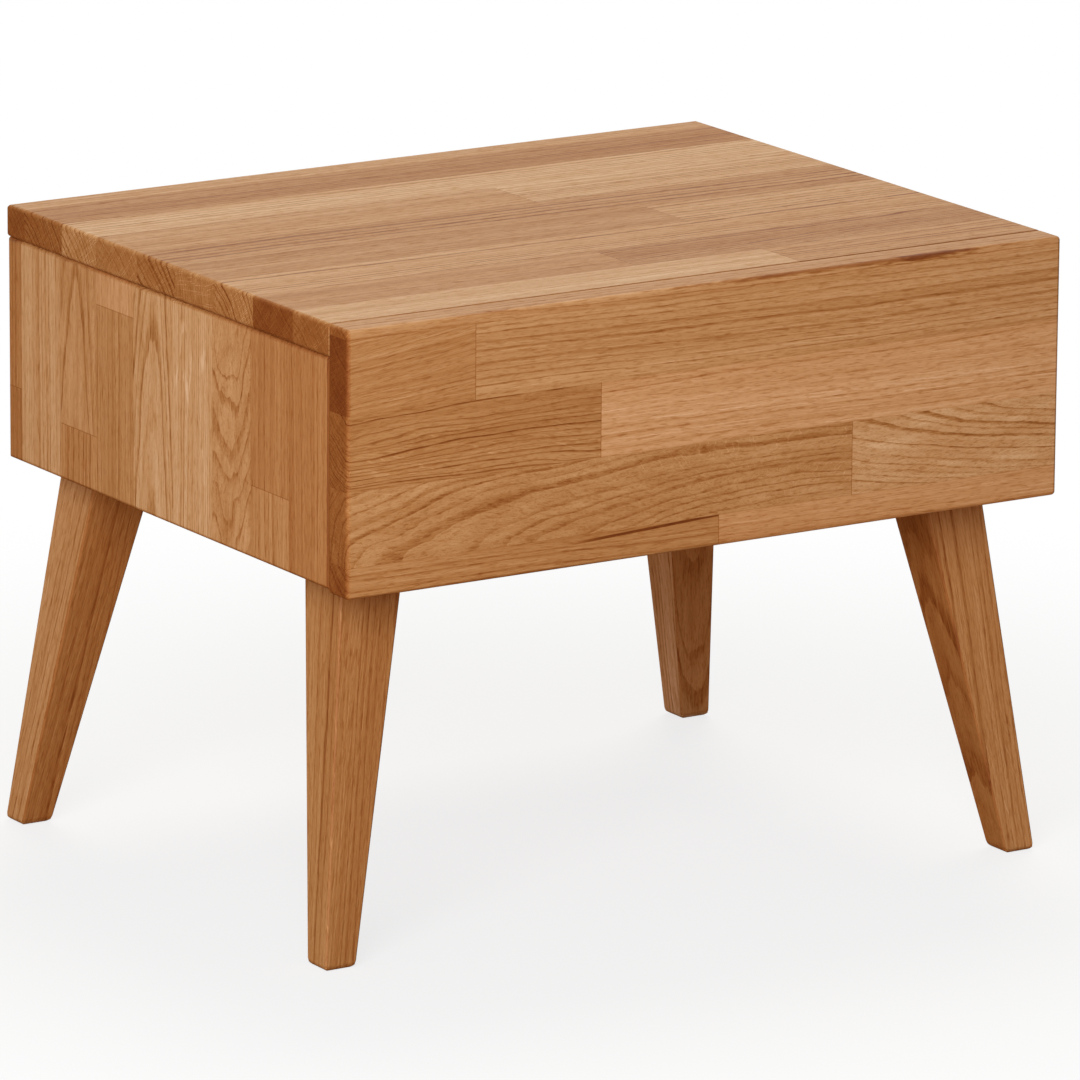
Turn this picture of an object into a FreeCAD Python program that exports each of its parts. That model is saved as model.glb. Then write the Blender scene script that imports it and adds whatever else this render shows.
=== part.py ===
import FreeCAD, Part
import math
import os
import re

import Sketcher

# Nightstand in solid oak: a low carcass on four splayed, tapered legs, with one drawer behind a full-overlay front.
# Millimetres. The origin is on the floor under the middle of the whole; X runs to the right, Y to the back, Z up.

SIZES = {
    # Carcass panels, the loose tongues between them and the back panel in its grooves
    "cabinet_width": 500,
    "cabinet_depth": 378,
    "cabinet_height": 158,
    "top_thickness": 20,
    "side_thickness": 20,
    "bottom_thickness": 20,
    "back_thickness": 8,
    "back_inset": 10,
    "back_groove_depth": 7,
    "tongue_thickness": 6,
    "tongue_height": 20,
    "tongue_margin": 40,
    "edge_round": 2.5,
    "panel_clearance": 0.2,
    # Legs, each with a stub tenon in the bottom panel and a screw down its middle
    "leg_height": 230,
    "leg_top": 42.5,
    "leg_foot": 21,
    "leg_inset": 24,
    "leg_splay": 27,
    "leg_chamfer": 1,
    "foot_chamfer": 2.5,
    "tenon_width": 22,
    "tenon_height": 8,
    "leg_screw_diameter": 7,
    "leg_screw_length": 45,
    "leg_screw_head": 16,
    "leg_screw_head_height": 3.5,
    "leg_screw_socket": 5,
    "leg_screw_sink": 5,
    "sink_clearance": 1,
    # Overlay front and its finger pull
    "front_thickness": 20,
    "front_gap": 2,
    "front_drop": 2,
    "pull_width": 150,
    "pull_height": 24,
    "pull_depth": 12,
    "pull_round": 8,
    "bumper_width": 8,
    "bumper_margin": 11,
    # Drawer box, dovetailed at its corners, and its base
    "drawer_height": 90,
    "drawer_back_gap": 32,
    "drawer_lift": 8,
    "box_thickness": 12,
    "tail_width": 21,
    "tail_taper": 2.4,
    "joint_clearance": 0.05,
    "base_thickness": 6,
    "base_lift": 9,
    "base_groove_depth": 6,
    # Screws of the front and of the rails
    "drill_clearance": 0.1,
    "screw_head_height": 1.5,
    "front_screw_diameter": 4,
    "front_screw_length": 25,
    "front_screw_inset": 60,
    "front_screw_lift": 24,
    "rail_screw_diameter": 3.5,
    "rail_screw_margin": 32,
    "cabinet_screw_length": 15,
    "drawer_screw_length": 10,
    # Ball runners: cabinet rail, middle rail and drawer rail, with a ball cage in each of the two gaps
    "runner_length": 300,
    "runner_height": 45,
    "runner_thickness": 12.7,
    "runner_setback": 3,
    "rail_steel": 1.2,
    "rail_lip": 1.3,
    "cabinet_flange": 9.6,
    "middle_offset": 4.6,
    "middle_flange": 7,
    "drawer_flange": 5.4,
    "ball_diameter": 3,
    "ball_play": 0.1,
    "race_depth": 0.4,
    "outer_ball_offset": 6.4,
    "inner_ball_offset": 8.8,
    "cage_web": 0.6,
    "cage_thickness": 1.8,
    "cage_gap": 0.6,
    "cage_clearance": 0.3,
    "cage_length": 140,
}

TAILS = 3
SIDES = {"left": -1, "right": 1}
ENDS = {"front": -1, "back": 1}
NEAR = 0.01

# Places that several pieces share, as formulas of the sizes
FACE_Y = "(-(front_thickness + front_gap + cabinet_depth + leg_splay - leg_inset)/2)"
FRONT_REAR_Y = f"({FACE_Y} + front_thickness)"
CARCASS_Y = f"({FRONT_REAR_Y} + front_gap)"
INNER_X = "(cabinet_width/2 - side_thickness)"
SIDE_HEIGHT = "(cabinet_height - top_thickness)"
BACK_FRONT = "(cabinet_depth - back_inset - back_thickness)"
BACK_GROOVE_END = "(cabinet_depth - back_inset + panel_clearance)"
BACK_REACH = f"({INNER_X} + back_groove_depth)"
BACK_FOOT = "(bottom_thickness - back_groove_depth)"
TONGUE_X = "(cabinet_width/2 - side_thickness/2)"
TONGUE_SLOT = "(tongue_thickness/2 + panel_clearance)"
TONGUE_START = "(tongue_margin - panel_clearance)"
TONGUE_END = "(cabinet_depth - tongue_margin + panel_clearance)"
TONGUE_DEPTH = "(tongue_height/2 + panel_clearance)"
DRAWER_WIDTH = f"(2*{INNER_X} - 2*runner_thickness)"
DRAWER_DEPTH = f"(front_gap + {BACK_FRONT} - drawer_back_gap)"
DRAWER_Z = "(leg_height + bottom_thickness + drawer_lift)"
RUNNER_Y = f"({CARCASS_Y} + runner_setback)"
RUNNER_Z = f"({DRAWER_Z} + drawer_height/2)"
LEG_X = "(cabinet_width/2 - leg_inset - leg_top/2)"
LEG_Y = {"front": "(leg_inset + leg_top/2)", "back": "(cabinet_depth - leg_inset - leg_top/2)"}
LEG_PLACES = [(f"{hand}*{LEG_X}", y) for hand in SIDES.values() for y in LEG_Y.values()]
RAIL_SCREW_PLACES = ["rail_screw_margin", "(runner_length - rail_screw_margin)"]
RAIL_SCREW_HOLE = "rail_screw_diameter/2 + drill_clearance"
FRONT_SCREW_HOLE = "front_screw_diameter/2 + drill_clearance"

# The nested rails: half heights from the outermost to the innermost, and how far the cages stand from the wall
RACE = "(ball_diameter/2 + ball_play)"
CABINET_HALF = "(runner_height/2)"
OUTER_BALL_Z = f"({CABINET_HALF} - rail_steel - {RACE} + race_depth)"
MIDDLE_HALF = f"({OUTER_BALL_Z} - {RACE} + race_depth)"
INNER_BALL_Z = f"({MIDDLE_HALF} - rail_steel - {RACE} + race_depth)"
DRAWER_HALF = f"({INNER_BALL_Z} - {RACE} + race_depth)"
OUTER_CAGE_X = "(middle_offset - cage_gap - cage_web)"
INNER_CAGE_X = "(middle_offset + rail_steel + cage_gap)"
CAGE_Y = f"({RUNNER_Y} + (runner_length - cage_length)/2)"

NORMALS = {"XY_Plane": 1, "XZ_Plane": -1, "YZ_Plane": 1}
UP = FreeCAD.Vector(0, 0, 1)

doc = FreeCAD.newDocument("nightstand")
sheet = doc.addObject("Spreadsheet::Sheet", "Sizes")
for row, (size_name, size) in enumerate(SIZES.items(), start=1):
    sheet.set(f"A{row}", size_name)
    sheet.set(f"B{row}", str(size))
    sheet.setAlias(f"B{row}", size_name)
doc.recompute()

nodes = []


def bind(text):
    """The formula with every size name pointing at its cell."""
    return re.sub(r"[a-z]+(?:_[a-z]+)+", r"Sizes.\g<0>", text)


def place(item, x, y, z):
    """Ties an object's position to formulas."""
    for axis, text in zip("xyz", (x, y, z)):
        item.setExpression(f"Placement.Base.{axis}", bind(text))


def piece(label, x, y, z):
    """A new body that is a node of its own, with its local origin at the given place."""
    body = doc.addObject("PartDesign::Body", label)
    body.Label = label
    place(body, x, y, z)
    nodes.append(body)
    return body


def rectangle(x0, y0, x1, y1):
    return [(x0, y0), (x1, y0), (x1, y1), (x0, y1)]


def centred(half_width, y0, y1):
    return rectangle(f"-{half_width}", y0, half_width, y1)


def fix(profile, element, point, x, y):
    """Ties one point of a sketch to formulas, measured from the sketch's origin."""
    for kind, text in (("DistanceX", x), ("DistanceY", y)):
        index = profile.addConstraint(Sketcher.Constraint(kind, -1, 1, element, point, 1.0))
        profile.setExpression(f"Constraints[{index}]", bind(text))


def draw_loop(profile, corners):
    """A closed run of straight lines through the corners."""
    first = profile.GeometryCount
    count = len(corners)
    turns = [2 * math.pi * n / count for n in range(count + 1)]
    ring = [FreeCAD.Vector(math.cos(turn), math.sin(turn), 0) for turn in turns]
    for start, end in zip(ring, ring[1:]):
        profile.addGeometry(Part.LineSegment(start, end), False)
    for n in range(count):
        profile.addConstraint(Sketcher.Constraint("Coincident", first + n, 2, first + (n + 1) % count, 1))
    for n, (x, y) in enumerate(corners):
        fix(profile, first + n, 1, x, y)


def draw_circle(profile, x, y, radius):
    element = profile.addGeometry(Part.Circle(FreeCAD.Vector(), UP, 1.0), False)
    fix(profile, element, 3, x, y)
    index = profile.addConstraint(Sketcher.Constraint("Radius", element, 1.0))
    profile.setExpression(f"Constraints[{index}]", bind(radius))


def sketch(body, plane, at, shapes):
    """A sketch on one of the body's planes, moved along its axis; a list of corners is a loop, a triple a circle."""
    profile = body.newObject("Sketcher::SketchObject", "Profile")
    support = next(item for item in body.Origin.OriginFeatures if item.Role == plane)
    profile.AttachmentSupport = [(support, "")]
    profile.MapMode = "FlatFace"
    profile.setExpression("AttachmentOffset.Base.z", bind(f"{NORMALS[plane]}*({at})"))
    for shape in shapes:
        if isinstance(shape, list):
            draw_loop(profile, shape)
        else:
            draw_circle(profile, *shape)
    return profile


def extrude(body, kind, plane, at, shapes, length, towards):
    """Adds (Pad) or takes away (Pocket) a prism from the plane, towards +1 or -1 along its axis."""
    base = body.Tip
    before = base.Shape.Volume if base else 0
    profile = sketch(body, plane, at, shapes)
    feature = body.newObject(f"PartDesign::{kind}", kind)
    feature.Profile = profile
    feature.setExpression("Length", bind(length))
    along_normal = towards == NORMALS[plane]
    feature.Reversed = along_normal if kind == "Pocket" else not along_normal
    doc.recompute()
    added = feature.Shape.Volume - before
    if abs(added) < NEAR or (added > 0) != (kind == "Pad"):
        raise RuntimeError(f"{body.Label}: {feature.Name} changes nothing")


def pad(body, plane, at, shapes, length, towards=1):
    extrude(body, "Pad", plane, at, shapes, length, towards)


def pocket(body, plane, at, shapes, length, towards):
    extrude(body, "Pocket", plane, at, shapes, length, towards)


def dress(body, kind, measure, size, wanted):
    """Fillets or chamfers the edges whose box passes the test against the box of the whole."""
    base = body.Tip
    whole = base.Shape.BoundBox
    names = [f"Edge{n}" for n, edge in enumerate(base.Shape.Edges, start=1) if wanted(edge.BoundBox, whole)]
    feature = body.newObject(f"PartDesign::{kind}", kind)
    feature.Base = (base, names)
    feature.setExpression(measure, bind(size))
    doc.recompute()


def rounded(body, radius, wanted):
    dress(body, "Fillet", "Radius", radius, wanted)


def chamfered(body, width, wanted):
    dress(body, "Chamfer", "Size", width, wanted)


def group(label, prototype, places):
    """One node of identical solids: the prototype at each place, with its Z turned to the given direction."""
    links = []
    for x, y, z, direction in places:
        link = doc.addObject("App::Link", "Item")
        link.LinkedObject = prototype
        link.Placement = FreeCAD.Placement(FreeCAD.Vector(), FreeCAD.Rotation(UP, FreeCAD.Vector(*direction)))
        place(link, x, y, z)
        links.append(link)
    compound = doc.addObject("Part::Compound", label)
    compound.Label = label
    compound.Links = links
    nodes.append(compound)


def screw(label, diameter, length, head, head_height):
    """A turned screw about Z, with the underside of its flat head at Z = 0."""
    body = doc.addObject("PartDesign::Body", label)
    outline = [("0", f"-{length}"), (f"{diameter}/2", f"-{length}"), (f"{diameter}/2", "0"),
               (f"{head}/2", "0"), (f"{head}/2", head_height), ("0", head_height)]
    profile = sketch(body, "XZ_Plane", "0", [outline])
    feature = body.newObject("PartDesign::Revolution", "Revolution")
    feature.Profile = profile
    feature.ReferenceAxis = (profile, ["V_Axis"])
    feature.Angle = 360
    doc.recompute()
    return body


# Carcass

def make_top_panel():
    body = piece("top_panel", "0", CARCASS_Y, f"leg_height + {SIDE_HEIGHT}")
    pad(body, "XY_Plane", "0", [centred("cabinet_width/2", "0", "cabinet_depth")], "top_thickness")

    def on_show(edge, whole):
        above = edge.ZMin > whole.ZMax - NEAR and edge.YMax > NEAR
        beside = edge.XLength < NEAR and edge.ZLength < NEAR
        return above or beside

    rounded(body, "edge_round", on_show)
    back_groove = centred(BACK_REACH, BACK_FRONT, BACK_GROOVE_END)
    pocket(body, "XY_Plane", "0", [back_groove], "back_groove_depth", 1)
    slots = [rectangle(f"{hand}*{TONGUE_X} - {TONGUE_SLOT}", TONGUE_START,
                       f"{hand}*{TONGUE_X} + {TONGUE_SLOT}", TONGUE_END) for hand in SIDES.values()]
    pocket(body, "XY_Plane", "0", slots, TONGUE_DEPTH, 1)


def make_side_panel(side, hand):
    """One side panel; its inner face is at X = 0 of its own frame."""
    body = piece(f"{side}_side_panel", f"{hand}*{INNER_X}", CARCASS_Y, "leg_height")
    slab = rectangle("0", "0", f"{hand}*side_thickness", "cabinet_depth")
    pad(body, "XY_Plane", "0", [slab], SIDE_HEIGHT)

    def on_show(edge, whole):
        outside = edge.XMin > whole.XMax - NEAR if hand > 0 else edge.XMax < whole.XMin + NEAR
        return outside and edge.YMax > NEAR

    rounded(body, "edge_round", on_show)
    back_groove = rectangle("0", BACK_FRONT, f"{hand}*back_groove_depth", BACK_GROOVE_END)
    pocket(body, "XY_Plane", BACK_FOOT, [back_groove], f"{SIDE_HEIGHT} - {BACK_FOOT}", 1)
    middle = f"{hand}*side_thickness/2"
    top_slot = rectangle(f"{middle} - {TONGUE_SLOT}", TONGUE_START, f"{middle} + {TONGUE_SLOT}", TONGUE_END)
    pocket(body, "XY_Plane", SIDE_HEIGHT, [top_slot], TONGUE_DEPTH, -1)
    bottom_slot = rectangle(TONGUE_START, f"bottom_thickness/2 - {TONGUE_SLOT}",
                            TONGUE_END, f"bottom_thickness/2 + {TONGUE_SLOT}")
    pocket(body, "YZ_Plane", "0", [bottom_slot], TONGUE_DEPTH, hand)
    holes = [(f"runner_setback + {y}", f"{RUNNER_Z} - leg_height", RAIL_SCREW_HOLE) for y in RAIL_SCREW_PLACES]
    pocket(body, "YZ_Plane", "0", holes, "cabinet_screw_length - rail_steel + drill_clearance", hand)


def make_bottom_panel():
    body = piece("bottom_panel", "0", CARCASS_Y, "leg_height")
    pad(body, "XY_Plane", "0", [centred(INNER_X, "0", "cabinet_depth")], "bottom_thickness")
    back_groove = centred(INNER_X, BACK_FRONT, BACK_GROOVE_END)
    pocket(body, "XY_Plane", "bottom_thickness", [back_groove], "back_groove_depth", -1)
    slot = rectangle(TONGUE_START, f"bottom_thickness/2 - {TONGUE_SLOT}",
                     TONGUE_END, f"bottom_thickness/2 + {TONGUE_SLOT}")
    for hand in SIDES.values():
        pocket(body, "YZ_Plane", f"{hand}*{INNER_X}", [slot], TONGUE_DEPTH, -hand)
    mortise = "(tenon_width/2 + panel_clearance)"
    mortises = [rectangle(f"{x} - {mortise}", f"{y} - {mortise}", f"{x} + {mortise}", f"{y} + {mortise}")
                for x, y in LEG_PLACES]
    pocket(body, "XY_Plane", "0", mortises, "tenon_height + panel_clearance", 1)
    sinks = [(x, y, "leg_screw_head/2 + sink_clearance") for x, y in LEG_PLACES]
    pocket(body, "XY_Plane", "bottom_thickness", sinks, "leg_screw_sink", -1)
    holes = [(x, y, "leg_screw_diameter/2 + drill_clearance") for x, y in LEG_PLACES]
    pocket(body, "XY_Plane", "0", holes, "bottom_thickness", 1)


def make_back_panel():
    body = piece("back_panel", "0", f"{CARCASS_Y} + {BACK_FRONT}", "leg_height")
    slab = centred(f"({BACK_REACH} - panel_clearance)", f"{BACK_FOOT} + panel_clearance",
                   f"{SIDE_HEIGHT} + back_groove_depth - panel_clearance")
    pad(body, "XZ_Plane", "0", [slab], "back_thickness")


def make_tongues(side, hand):
    """The loose tongues that join one side panel to the top and to the bottom."""
    upright = piece(f"{side}_top_tongue", f"{hand}*{TONGUE_X}", CARCASS_Y, f"leg_height + {SIDE_HEIGHT}")
    strip = centred("tongue_thickness/2", "tongue_margin", "cabinet_depth - tongue_margin")
    pad(upright, "XY_Plane", "-tongue_height/2", [strip], "tongue_height")
    level = piece(f"{side}_bottom_tongue", f"{hand}*{INNER_X}", CARCASS_Y, "leg_height + bottom_thickness/2")
    strip = centred("tongue_height/2", "tongue_margin", "cabinet_depth - tongue_margin")
    pad(level, "XY_Plane", "-tongue_thickness/2", [strip], "tongue_thickness")


# Legs: tapered from a square top to a square foot, and splayed outwards to the side and to the front or back

def make_leg(side, hand, end, way):
    """One leg; the middle of its top is at the origin of its own frame."""
    body = piece(f"{end}_{side}_leg", f"{hand}*{LEG_X}", f"{CARCASS_Y} + {LEG_Y[end]}", "leg_height")
    reach = "(leg_top/2 + leg_splay)"
    front_view = [(f"-{hand}*leg_top/2", "0"), (f"{hand}*leg_top/2", "0"),
                  (f"{hand}*{reach}", "-leg_height"), (f"{hand}*({reach} - leg_foot)", "-leg_height")]
    pad(body, "XZ_Plane", f"-{way}*leg_top/2", [front_view], "leg_top + leg_splay", way)
    inner_waste = [(f"-{way}*leg_top/2", "0"), (f"{way}*({reach} - leg_foot)", "-leg_height"),
                   (f"-{way}*leg_top/2", "-leg_height")]
    outer_waste = [(f"{way}*leg_top/2", "0"), (f"{way}*{reach}", "0"), (f"{way}*{reach}", "-leg_height")]
    pocket(body, "YZ_Plane", f"-{reach}", [inner_waste, outer_waste], f"2*{reach}", 1)
    chamfered(body, "foot_chamfer", lambda edge, whole: edge.ZMax < whole.ZMin + NEAR)
    chamfered(body, "leg_chamfer", lambda edge, whole: edge.ZLength > whole.ZLength/2)
    tenon = centred("tenon_width/2", "-tenon_width/2", "tenon_width/2")
    pad(body, "XY_Plane", "0", [tenon], "tenon_height")
    bore = [("0", "0", "leg_screw_diameter/2 + drill_clearance")]
    shank_left = "leg_screw_length - (bottom_thickness - leg_screw_sink - tenon_height) + drill_clearance"
    pocket(body, "XY_Plane", "tenon_height", bore, shank_left, -1)


def make_leg_screws():
    bolt = screw("leg_screw", "leg_screw_diameter", "leg_screw_length", "leg_screw_head", "leg_screw_head_height")
    turns = [math.pi * n / 3 for n in range(6)]
    corner = f"leg_screw_socket/{math.sqrt(3):.6f}"
    hexagon = [(f"{math.cos(turn):.6f}*{corner}", f"{math.sin(turn):.6f}*{corner}") for turn in turns]
    pocket(bolt, "XY_Plane", "leg_screw_head_height", [hexagon], "leg_screw_head_height/2", -1)
    seat = "leg_height + bottom_thickness - leg_screw_sink"
    group("leg_screws", bolt, [(x, f"{CARCASS_Y} + {y}", seat, (0, 0, 1)) for x, y in LEG_PLACES])


# Ball runners

def channel(reach, half, web, flange, sign, lip=None):
    """Section of a rail or cage: a web at X = 0, two flanges towards the sign, and lips at their ends if any."""
    inside = f"({half} - {flange})"
    upper = [(web, inside)]
    if lip:
        upper += [(f"{reach} - {flange}", inside), (f"{reach} - {flange}", f"({inside} - {lip})"),
                  (reach, f"({inside} - {lip})")]
    else:
        upper += [(reach, inside)]
    upper += [(reach, half), ("0", half)]
    corners = upper + [(x, f"-{z}") for x, z in reversed(upper)]
    return [(f"{sign}*({x})", z) for x, z in corners]


def make_rail(label, hand, offset, section, races):
    """One rolled rail, at its offset from the wall, with a groove for each row of balls that runs on it."""
    rail = piece(label, f"{hand}*({INNER_X} - {offset})", RUNNER_Y, RUNNER_Z)
    pad(rail, "XZ_Plane", "0", [section], "runner_length")
    for ball_offset, ball_height in races:
        x = f"-{hand}*({ball_offset} - {offset})"
        grooves = [(x, ball_height, RACE), (x, f"-{ball_height}", RACE)]
        pocket(rail, "XZ_Plane", "0", grooves, "runner_length", 1)
    return rail


def make_rails(side, hand):
    steel = "rail_steel"
    outer_race = ("outer_ball_offset", OUTER_BALL_Z)
    inner_race = ("inner_ball_offset", INNER_BALL_Z)
    holes = [(y, "0", RAIL_SCREW_HOLE) for y in RAIL_SCREW_PLACES]
    section = channel("cabinet_flange", CABINET_HALF, steel, steel, -hand, "rail_lip")
    cabinet = make_rail(f"{side}_cabinet_rail", hand, "0", section, [outer_race])
    pocket(cabinet, "YZ_Plane", "0", holes, steel, -hand)
    section = channel("middle_flange", MIDDLE_HALF, steel, steel, -hand, "rail_lip")
    make_rail(f"{side}_middle_rail", hand, "middle_offset", section, [outer_race, inner_race])
    section = channel("drawer_flange", DRAWER_HALF, steel, steel, hand)
    drawer = make_rail(f"{side}_drawer_rail", hand, "runner_thickness", section, [inner_race])
    pocket(drawer, "YZ_Plane", "0", holes, steel, hand)


def make_cages(side, hand):
    """The two ball cages of one runner; each holds an upper and a lower row of balls."""
    cages = {
        "outer": (OUTER_CAGE_X, OUTER_BALL_Z, "cabinet_flange"),
        "inner": (INNER_CAGE_X, INNER_BALL_Z, "middle_offset + middle_flange"),
    }
    for name, (web_x, ball_height, lip_end) in cages.items():
        cage = piece(f"{side}_{name}_cage", f"{hand}*({INNER_X} - {web_x})", CAGE_Y, RUNNER_Z)
        reach = f"({lip_end} - rail_steel - cage_clearance - {web_x})"
        half = f"({ball_height} + cage_thickness/2)"
        pad(cage, "XZ_Plane", "0", [channel(reach, half, "cage_web", "cage_thickness", -hand)], "cage_length")


def make_rail_screws():
    kinds = {
        "cabinet": ("cabinet_screw_length", f"({INNER_X} - rail_steel)", -1),
        "drawer": ("drawer_screw_length", f"({INNER_X} - runner_thickness + rail_steel)", 1),
    }
    for rail, (length, x, outwards) in kinds.items():
        head = "2*rail_screw_diameter"
        prototype = screw(f"{rail}_rail_screw", "rail_screw_diameter", length, head, "screw_head_height")
        places = [(f"{hand}*{x}", f"{RUNNER_Y} + {y}", RUNNER_Z, (outwards * hand, 0, 0))
                  for hand in SIDES.values() for y in RAIL_SCREW_PLACES]
        group(f"{rail}_rail_screws", prototype, places)


# Drawer

def front_screw_places():
    """Four screws near the corners of the box front, measured from the middle of the drawer's lower edge."""
    columns = [f"{hand}*({DRAWER_WIDTH}/2 - front_screw_inset)" for hand in SIDES.values()]
    return [(x, z) for x in columns for z in ("front_screw_lift", "(drawer_height - front_screw_lift)")]


def make_drawer_front():
    body = piece("drawer_front", "0", FACE_Y, "leg_height - front_drop")
    height = "cabinet_height + front_drop"
    pad(body, "XY_Plane", "0", [centred("cabinet_width/2", "0", "front_thickness")], height)
    rounded(body, "edge_round", lambda edge, whole: edge.XLength < NEAR and edge.ZLength < NEAR)
    rounded(body, "edge_round", lambda edge, whole: edge.YMax < NEAR)
    recess = centred("pull_width/2", "0", "pull_height")
    pocket(body, "XZ_Plane", "front_thickness", [recess], "pull_depth", -1)

    def recess_corner(edge, whole):
        between_ends = edge.XMin > whole.XMin + NEAR and edge.XMax < whole.XMax - NEAR
        across = edge.XLength < NEAR and edge.ZLength < NEAR
        return between_ends and across and edge.ZMin > whole.ZMin + NEAR

    rounded(body, "pull_round", recess_corner)
    holes = [(x, f"{DRAWER_Z} - leg_height + front_drop + {z}", FRONT_SCREW_HOLE) for x, z in front_screw_places()]
    depth = "front_screw_length - box_thickness + drill_clearance"
    pocket(body, "XZ_Plane", "front_thickness", holes, depth, -1)


def make_box_end(end, way):
    """The box front or back, with a socket for each tail at both ends."""
    y = {"front": FRONT_REAR_Y, "back": f"{FRONT_REAR_Y} + {DRAWER_DEPTH} - box_thickness"}[end]
    body = piece(f"drawer_box_{end}", "0", y, DRAWER_Z)
    pad(body, "XY_Plane", "0", [centred(f"{DRAWER_WIDTH}/2", "0", "box_thickness")], "drawer_height")
    outside, inside = {"front": ("0", "box_thickness"), "back": ("box_thickness", "0")}[end]
    wide = "(tail_width/2 + joint_clearance)"
    narrow = "(tail_width/2 - tail_taper + joint_clearance)"
    middles = [f"drawer_height*{2 * n + 1}/{2 * TAILS}" for n in range(TAILS)]
    sockets = [[(outside, f"{z} - {wide}"), (inside, f"{z} - {narrow}"),
                (inside, f"{z} + {narrow}"), (outside, f"{z} + {wide}")] for z in middles]
    for hand in SIDES.values():
        depth = "box_thickness + joint_clearance"
        pocket(body, "YZ_Plane", f"{hand}*{DRAWER_WIDTH}/2", sockets, depth, -hand)
    groove = centred(f"({DRAWER_WIDTH}/2 - box_thickness + base_groove_depth)",
                     "base_lift", "base_lift + base_thickness + panel_clearance")
    pocket(body, "XZ_Plane", inside, [groove], "base_groove_depth", way)
    if end == "front":
        holes = [(x, z, FRONT_SCREW_HOLE) for x, z in front_screw_places()]
        pocket(body, "XZ_Plane", "0", holes, "box_thickness", 1)


def make_box_side(side, hand):
    """One side of the drawer box, with tails at both ends; its inner face is at X = 0, its middle at Y = 0."""
    middle_y = f"({FRONT_REAR_Y} + {DRAWER_DEPTH}/2)"
    body = piece(f"drawer_{side}_side", f"{hand}*({DRAWER_WIDTH}/2 - box_thickness)", middle_y, DRAWER_Z)
    slab = rectangle("0", f"-{DRAWER_DEPTH}/2", f"{hand}*box_thickness", f"{DRAWER_DEPTH}/2")
    pad(body, "XY_Plane", "0", [slab], "drawer_height")
    wide = f"(drawer_height/{2 * TAILS} - tail_width/2 + tail_taper)"
    narrow = f"(drawer_height/{2 * TAILS} - tail_width/2)"
    waste = []
    for way in ENDS.values():
        outside = f"{way}*{DRAWER_DEPTH}/2"
        inside = f"{way}*({DRAWER_DEPTH}/2 - box_thickness - joint_clearance)"
        for z in [f"drawer_height*{n}/{TAILS}" for n in range(TAILS + 1)]:
            waste.append([(outside, f"{z} - {narrow}"), (outside, f"{z} + {narrow}"),
                          (inside, f"{z} + {wide}"), (inside, f"{z} - {wide}")])
    pocket(body, "YZ_Plane", "0", waste, "box_thickness", hand)
    groove_end = f"({DRAWER_DEPTH}/2 - box_thickness + base_groove_depth)"
    groove = centred(groove_end, "base_lift", "base_lift + base_thickness + panel_clearance")
    pocket(body, "YZ_Plane", "0", [groove], "base_groove_depth", hand)
    holes = [(f"{RUNNER_Y} - {middle_y} + {y}", "drawer_height/2", RAIL_SCREW_HOLE) for y in RAIL_SCREW_PLACES]
    depth = "drawer_screw_length - rail_steel + drill_clearance"
    pocket(body, "YZ_Plane", f"{hand}*box_thickness", holes, depth, -hand)


def make_drawer_base():
    body = piece("drawer_base", "0", f"{FRONT_REAR_Y} + {DRAWER_DEPTH}/2", f"{DRAWER_Z} + base_lift")
    overlap = "(base_groove_depth - box_thickness - panel_clearance)"
    half_depth = f"({DRAWER_DEPTH}/2 + {overlap})"
    pad(body, "XY_Plane", "0", [centred(f"({DRAWER_WIDTH}/2 + {overlap})", f"-{half_depth}", half_depth)],
        "base_thickness")


def make_front_fixings():
    head = "2*front_screw_diameter"
    prototype = screw("front_screw", "front_screw_diameter", "front_screw_length", head, "screw_head_height")
    seat = f"{FRONT_REAR_Y} + box_thickness"
    group("drawer_front_screws", prototype,
          [(x, seat, f"{DRAWER_Z} + {z}", (0, 1, 0)) for x, z in front_screw_places()])
    bumper = doc.addObject("PartDesign::Body", "bumper")
    pad(bumper, "XY_Plane", "0", [centred("bumper_width/2", "-bumper_width/2", "bumper_width/2")], "front_gap")
    columns = [f"{hand}*(cabinet_width/2 - bumper_margin)" for hand in SIDES.values()]
    rows = ["leg_height + bumper_margin", f"leg_height + {SIDE_HEIGHT} - bumper_margin"]
    group("front_bumpers", bumper, [(x, FRONT_REAR_Y, z, (0, 1, 0)) for x in columns for z in rows])


make_top_panel()
make_bottom_panel()
make_back_panel()
make_leg_screws()
for side, hand in SIDES.items():
    make_side_panel(side, hand)
    make_tongues(side, hand)
    for end, way in ENDS.items():
        make_leg(side, hand, end, way)
    make_rails(side, hand)
    make_cages(side, hand)
    make_box_side(side, hand)
make_rail_screws()
make_drawer_front()
for end, way in ENDS.items():
    make_box_end(end, way)
make_drawer_base()
make_front_fixings()
doc.recompute()

failed = [item.Label for item in doc.Objects if "Invalid" in item.State or "Error" in item.State]
failed += [node.Label for node in nodes if node.Shape.isNull() or not node.Shape.isValid()]
if failed:
    raise RuntimeError(f"these did not build: {failed}")

os.makedirs("parts", exist_ok=True)
for node in nodes:
    node.Shape.exportStep(f"parts/{node.Label}.step")
print(f"{len(nodes)} nodes written")
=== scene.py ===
import math
import random
from collections import namedtuple

import bmesh
import bpy
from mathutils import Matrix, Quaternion, Vector


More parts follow.
